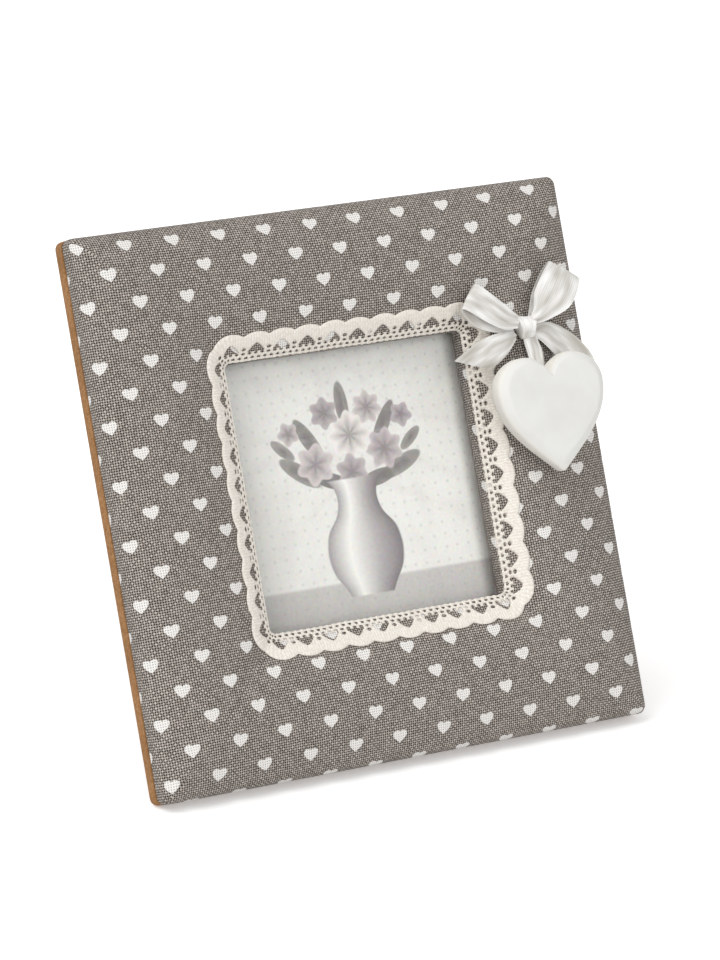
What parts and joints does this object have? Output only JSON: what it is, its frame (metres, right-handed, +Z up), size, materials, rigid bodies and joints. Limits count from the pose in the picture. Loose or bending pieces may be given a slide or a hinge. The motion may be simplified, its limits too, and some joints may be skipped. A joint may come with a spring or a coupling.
{
  "type": "fabric picture frame",
  "caption": "Square padded picture frame covered in heart-print cotton, with a lace-edged window, a satin bow that holds a wooden heart, and a folding easel strut behind.",
  "frame": {"origin": "on the surface that the frame stands on, below the centre of its bounding box", "axes": "+X to the viewer's right along the frame's width, -Y towards the viewer, +Z up; the frame leans back by 20 degrees from upright"},
  "size_m": [0.18, 0.0732, 0.1719],
  "materials": {
    "raw_board": "bare sawn fibreboard edge",
    "hardboard": "smooth pressed fibreboard",
    "wadding": "soft polyester wadding",
    "printed_cotton": "plain weave with printed white hearts",
    "cotton_lace": "matt openwork cotton",
    "picture_glass": "clear and smooth",
    "photo_paper": "semi-matt print",
    "zinc_steel": "zinc plated",
    "satin_ribbon": "satin with fine cross ribs",
    "painted_wood": "matt white paint"
  },
  "bodies": {
    "frame": {"back_frame": "raw_board", "front_board": "raw_board", "wadding": "wadding", "cloth_cover": "printed_cotton", "lace_edging": "cotton_lace", "glass_pane": "picture_glass", "picture_print": "photo_paper", "back_panel": "hardboard", "button_screw_left_upper": "zinc_steel", "button_screw_left_lower": "zinc_steel", "button_screw_right_upper": "zinc_steel", "button_screw_right_lower": "zinc_steel", "hinge_fixed_leaf": "zinc_steel", "hinge_pin": "zinc_steel", "panel_rivet_left": "zinc_steel", "panel_rivet_right": "zinc_steel", "bow_left_loop": "satin_ribbon", "bow_right_loop": "satin_ribbon", "bow_left_tail": "satin_ribbon", "bow_right_tail": "satin_ribbon", "bow_knot": "satin_ribbon"},
    "strut": {"easel_strut": "hardboard", "hinge_moving_leaf": "zinc_steel", "strut_rivet_left": "zinc_steel", "strut_rivet_right": "zinc_steel"},
    "turn_button_left_upper": {"turn_button_left_upper": "zinc_steel"},
    "turn_button_left_lower": {"turn_button_left_lower": "zinc_steel"},
    "turn_button_right_upper": {"turn_button_right_upper": "zinc_steel"},
    "turn_button_right_lower": {"turn_button_right_lower": "zinc_steel"},
    "hanger": {"hanger_ribbon_top": "satin_ribbon"},
    "pendant": {"hanger_ribbon_end": "satin_ribbon", "wooden_heart": "painted_wood"}
  },
  "joints": [
    {"name": "strut_fold", "type": "hinge", "parent": "frame", "child": "strut", "pos_m": [0, 0.01649, 0.10988], "axis": [1, 0, 0], "range_deg": [-30, 0]},
    {"name": "turn_button_left_upper_turn", "type": "hinge", "parent": "frame", "child": "turn_button_left_upper", "pos_m": [-0.053, 0.01411, 0.10702], "axis": [0, -0.9397, 0.342], "continuous": true},
    {"name": "turn_button_left_lower_turn", "type": "hinge", "parent": "frame", "child": "turn_button_left_lower", "pos_m": [-0.053, -0.0023, 0.06192], "axis": [0, -0.9397, 0.342], "continuous": true},
    {"name": "turn_button_right_upper_turn", "type": "hinge", "parent": "frame", "child": "turn_button_right_upper", "pos_m": [0.053, 0.01411, 0.10702], "axis": [0, -0.9397, 0.342], "continuous": true},
    {"name": "turn_button_right_lower_turn", "type": "hinge", "parent": "frame", "child": "turn_button_right_lower", "pos_m": [0.053, -0.0023, 0.06192], "axis": [0, -0.9397, 0.342], "continuous": true},
    {"name": "heart_swing", "type": "hinge", "parent": "frame", "child": "hanger", "pos_m": [0.06365, 0.00203, 0.12557], "axis": [0, -0.9397, 0.342], "range_deg": [-12, 12]},
    {"name": "heart_lift", "type": "hinge", "parent": "hanger", "child": "pendant", "pos_m": [0.06365, -0.00306, 0.12285], "axis": [-1, 0, 0], "range_deg": [-5, 75]}
  ]
}
